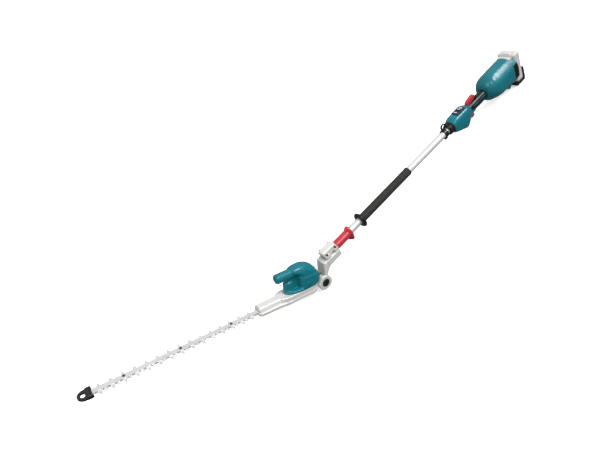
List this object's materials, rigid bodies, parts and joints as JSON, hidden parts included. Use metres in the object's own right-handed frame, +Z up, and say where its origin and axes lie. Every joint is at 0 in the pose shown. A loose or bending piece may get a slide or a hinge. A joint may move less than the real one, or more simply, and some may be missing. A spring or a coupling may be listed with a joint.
{
  "type": "pole hedge trimmer",
  "caption": "Cordless pole hedge trimmer: an articulated cutting head with twin reciprocating blades on a straight shaft, with a rear grip, trigger and slide-on battery.",
  "frame": {"origin": "middle of the battery guard's flat foot, on the ground plane the tool rests on", "axes": "+X rearward along the pole, from the cutting head to the battery; +Z up; -Y is the side with the pivot bolt's head"},
  "size_m": [1.9462, 0.098, 0.3926],
  "materials": {
    "teal_plastic": "smooth moulded, satin gloss",
    "red_plastic": "smooth moulded, satin gloss",
    "black_plastic": "fine moulded texture",
    "rubber": "soft overmould, matte",
    "cast_aluminium": "die-cast, silver paint",
    "pipe_aluminium": "drawn and anodised, bright",
    "blade_steel": "ground, nickel plated",
    "dark_steel": "blackened",
    "copper": "wound copper and cell wrap",
    "pale_plastic": "pale grey, smooth"
  },
  "bodies": {
    "pole": {"battery_guard": "black_plastic", "clamp_bolt_1": "dark_steel", "clamp_bolt_2": "dark_steel", "clamp_bolt_3": "dark_steel", "clamp_bolt_4": "dark_steel", "control_housing_left": "teal_plastic", "control_housing_right": "teal_plastic", "control_panel": "black_plastic", "controller": "black_plastic", "front_collar": "rubber", "front_grip": "rubber", "hand_guard": "rubber", "handle_core": "teal_plastic", "handle_grip": "rubber", "indicator_lens": "pale_plastic", "pipe": "pipe_aluminium", "pipe_clamp_cap": "cast_aluminium", "pivot_arm": "cast_aluminium", "pivot_bolt": "dark_steel", "pivot_nut": "dark_steel", "power_cable": "rubber", "rear_housing_left": "teal_plastic", "rear_housing_right": "teal_plastic", "sleeve_spring": "dark_steel", "terminal_block": "black_plastic", "trigger_switch": "black_plastic"},
    "head": {"gear_case": "cast_aluminium", "gear_case_cover": "cast_aluminium", "guide_bar": "blade_steel", "tip_guard": "black_plastic", "blade_bolt_1": "dark_steel", "blade_bolt_2": "dark_steel", "blade_bolt_3": "dark_steel", "cover_screw_1": "dark_steel", "cover_screw_2": "dark_steel", "cover_screw_3": "dark_steel", "cover_screw_4": "dark_steel", "cover_screw_5": "dark_steel", "cover_screw_6": "dark_steel", "index_plate": "dark_steel", "crank_bearing": "dark_steel", "motor_stator": "copper", "motor_housing_left": "teal_plastic", "motor_housing_right": "teal_plastic", "cable_boot": "rubber"},
    "upper_blade": {"upper_blade": "blade_steel"},
    "lower_blade": {"lower_blade": "blade_steel"},
    "crank": {"crank_gear": "dark_steel", "crank_shaft": "dark_steel"},
    "rotor": {"motor_rotor": "dark_steel"},
    "lock_sleeve": {"lock_sleeve": "red_plastic"},
    "locking_pin": {"locking_pin": "dark_steel"},
    "trigger": {"trigger": "red_plastic"},
    "lock_off_lever": {"lock_off_lever": "red_plastic"},
    "power_button": {"power_button": "black_plastic"},
    "reverse_button": {"reverse_button": "black_plastic"},
    "battery": {"battery_case": "pale_plastic", "battery_cells": "copper"},
    "battery_release": {"battery_release_button": "pale_plastic"},
    "hanger": {"hanger_clamp": "black_plastic"}
  },
  "joints": [
    {"name": "head_tilt", "type": "hinge", "parent": "pole", "child": "head", "pos_m": [-1.175, 0, 0.026], "axis": [0, 1, 0], "range_deg": [-96, 19]},
    {"name": "upper_blade_slide", "type": "slide", "parent": "head", "child": "upper_blade", "axis": [0.8988, 0, -0.4384], "range_m": [0, 0.017]},
    {"name": "lower_blade_slide", "type": "slide", "parent": "head", "child": "lower_blade", "axis": [0.8988, 0, -0.4384], "range_m": [-0.017, 0]},
    {"name": "crank_spin", "type": "hinge", "parent": "head", "child": "crank", "pos_m": [-1.25625, 0, 0.06563], "axis": [0.4384, 0, 0.8988], "continuous": true},
    {"name": "rotor_spin", "type": "hinge", "parent": "head", "child": "rotor", "pos_m": [-1.23252, 0, 0.05406], "axis": [0.4384, 0, 0.8988], "continuous": true},
    {"name": "lock_sleeve_slide", "type": "slide", "parent": "pole", "child": "lock_sleeve", "axis": [1, 0, 0], "range_m": [0, 0.018], "stiffness_N_per_m": 600, "springref_m": -0.01, "deforming": ["sleeve_spring"]},
    {"name": "locking_pin_slide", "type": "slide", "parent": "pole", "child": "locking_pin", "axis": [0.4384, 0, 0.8988], "range_m": [0, 0.006]},
    {"name": "trigger_squeeze", "type": "hinge", "parent": "pole", "child": "trigger", "pos_m": [-0.307, 0, 0.077], "axis": [0, 1, 0], "range_deg": [-12, 0], "stiffness_Nm_per_rad": 0.6, "springref_deg": 8.59},
    {"name": "lock_off_press", "type": "hinge", "parent": "pole", "child": "lock_off_lever", "pos_m": [-0.3075, 0, 0.111], "axis": [0, 1, 0], "range_deg": [0, 12], "stiffness_Nm_per_rad": 0.6, "springref_deg": -8.59},
    {"name": "power_press", "type": "slide", "parent": "pole", "child": "power_button", "axis": [0, 0, -1], "range_m": [0, 0.0015], "stiffness_N_per_m": 1500, "springref_m": -0.0005},
    {"name": "reverse_press", "type": "slide", "parent": "pole", "child": "reverse_button", "axis": [0, 0, -1], "range_m": [0, 0.0015], "stiffness_N_per_m": 1500, "springref_m": -0.0005},
    {"name": "battery_slide", "type": "slide", "parent": "pole", "child": "battery", "axis": [0, 0, 1], "range_m": [0, 0.13]},
    {"name": "battery_release_press", "type": "slide", "parent": "battery", "child": "battery_release", "axis": [0, 0, -1], "range_m": [0, 0.003], "stiffness_N_per_m": 1500, "springref_m": -0.0005},
    {"name": "hanger_slide", "type": "slide", "parent": "pole", "child": "hanger", "axis": [1, 0, 0], "range_m": [-0.18, 0]}
  ],
  "couplings": [
    {"joint": "lower_blade_slide", "follows": "upper_blade_slide", "ratio": -1},
    {"joint": "rotor_spin", "follows": "crank_spin", "ratio": -5},
    {"joint": "locking_pin_slide", "follows": "lock_sleeve_slide", "ratio": 0.33333}
  ]
}
